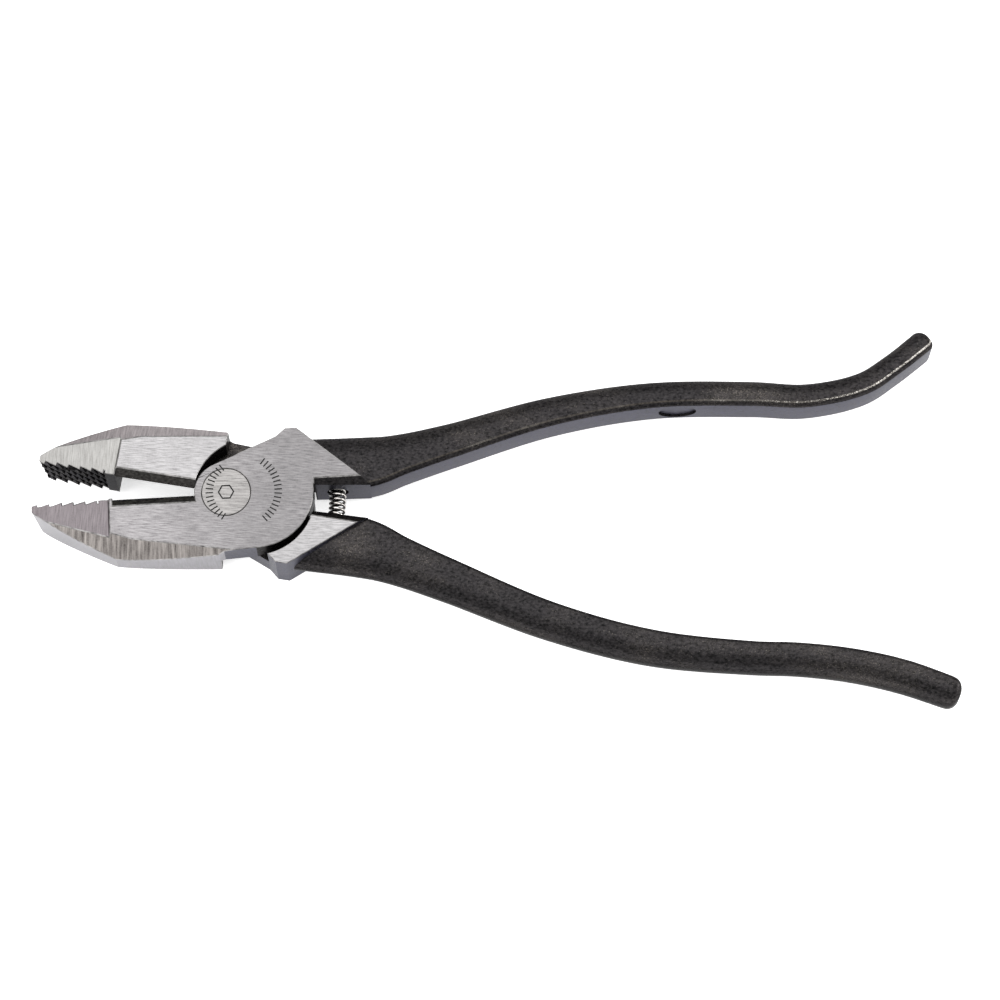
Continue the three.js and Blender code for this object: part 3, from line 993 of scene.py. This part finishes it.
def rivet():
    piece = lathe("rivet", rivet_profile(0, 0, RIVET_EDGE), 96, "rivet")
    combine(piece, plain_marks())
    smooth(piece).data.transform(Matrix.Rotation(REST_HALF_ANGLE, 4, "Z"))
    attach(piece, "hook_half")
    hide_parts("pivot_rivet")


# ---- Spring --------------------------------------------------------------------------------


def spring_point(share, half_sweep):
    """A point of the helix that is wound round an arc about the rivet's axis."""
    around = 2 * math.pi * SPRING_TURNS * share
    along = half_sweep * (2 * share - 1)
    reach = SPRING_ARC + SPRING_RADIUS * math.cos(around)
    height = MID + SPRING_RADIUS * math.sin(around)
    return Vector((reach * math.cos(along), reach * math.sin(along), height))


def opening_spring():
    half_sweep = REST_HALF_ANGLE + POCKET_FLOOR - SPRING_END_PLAY
    rows = SPRING_TURNS * SPRING_ROWS_PER_TURN
    sides = SPRING_SIDES
    centres = [spring_point(row / rows, half_sweep) for row in range(rows + 1)]
    points = []
    for row, centre in enumerate(centres):
        heading = (centres[min(row + 1, rows)] - centres[max(row - 1, 0)]).normalized()
        along = half_sweep * (2 * row / rows - 1)
        axis_point = Vector((SPRING_ARC * math.cos(along), SPRING_ARC * math.sin(along), MID))
        outward = (centre - axis_point).normalized()
        across = heading.cross(outward).normalized()
        outward = across.cross(heading)
        for angle in np.linspace(0, 2 * math.pi, sides, endpoint=False):
            spoke = math.cos(angle) * outward + math.sin(angle) * across
            points.append(centre + SPRING_WIRE * spoke)
    faces = []
    for row in range(rows):
        low = row * sides
        for i in range(sides):
            j = (i + 1) % sides
            faces.append((low + i, low + j, low + sides + j, low + sides + i))
    faces.append(tuple(range(sides)))
    faces.append(tuple(range(len(points) - 1, len(points) - sides - 1, -1)))
    spring = solid("spring", points, faces, "spring")
    smooth(spring, 50)
    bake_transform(spring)
    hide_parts("opening_spring")


# ---- Studio --------------------------------------------------------------------------------


def floor():
    material, tree, shader = new_material("studio_floor", 0.0)
    drift = noise(tree, (1, 1, 1), scale=6)
    tone = ramp(tree, drift, ((0.3, (0.93, 0.93, 0.93)), (0.7, (0.96, 0.96, 0.96))))
    connect(tree, shader, Base_Color=tone)
    shader.inputs["Roughness"].default_value = 0.8
    shader.inputs["Emission Color"].default_value = (1, 1, 1, 1)
    shader.inputs["Emission Strength"].default_value = TABLE_GLOW
    signs = ((-1, -1), (1, -1), (1, 1), (-1, 1))
    corners = [(x * FLOOR_HALF, y * FLOOR_HALF, -FLOOR_DROP) for x, y in signs]
    mesh = bpy.data.meshes.new("studio_floor")
    mesh.from_pydata(corners, [], [(0, 1, 2, 3)])
    mesh.materials.append(material)
    new_object("studio_floor", mesh)


def area_light(name, place, size, power):
    """A square soft light that faces the pliers."""
    light = bpy.data.lights.new(name, "AREA")
    light.size = size
    light.energy = power
    lamp = new_object(name, light)
    lamp.location = place
    aim = Vector(CAMERA_TARGET) - Vector(place)
    lamp.rotation_euler = aim.to_track_quat("-Z", "Y").to_euler()


def lighting():
    area_light("overhead", (0.0, 0.30, 1.2), 1.6, 14)
    area_light("left_fill", (-1.1, -0.6, 0.9), 0.7, 9)
    area_light("right_glint", (1.3, 0.1, 0.42), 0.4, 5)
    world = bpy.data.worlds.new("studio")
    world.use_nodes = True
    background = world.node_tree.nodes["Background"]
    background.inputs["Color"].default_value = (1, 1, 1, 1)
    background.inputs["Strength"].default_value = 1.0
    bpy.context.scene.world = world
    bpy.context.scene.view_settings.view_transform = "Standard"


def camera():
    data = bpy.data.cameras.new("camera")
    data.lens = CAMERA_LENS
    data.sensor_width = CAMERA_SENSOR
    view = new_object("camera", data)
    flat = math.cos(CAMERA_ELEVATION)
    back = Vector((
        math.sin(CAMERA_AZIMUTH) * flat,
        -math.cos(CAMERA_AZIMUTH) * flat,
        math.sin(CAMERA_ELEVATION),
    ))
    right = Vector((math.cos(CAMERA_AZIMUTH), math.sin(CAMERA_AZIMUTH), 0))
    turn = Matrix((right, back.cross(right), back)).transposed().to_4x4()
    view.matrix_world = Matrix.Translation(Vector(CAMERA_TARGET) + back * CAMERA_DISTANCE) @ turn
    bpy.context.scene.camera = view


hook_half()
plain_half()
rivet()
opening_spring()
floor()
lighting()
camera()
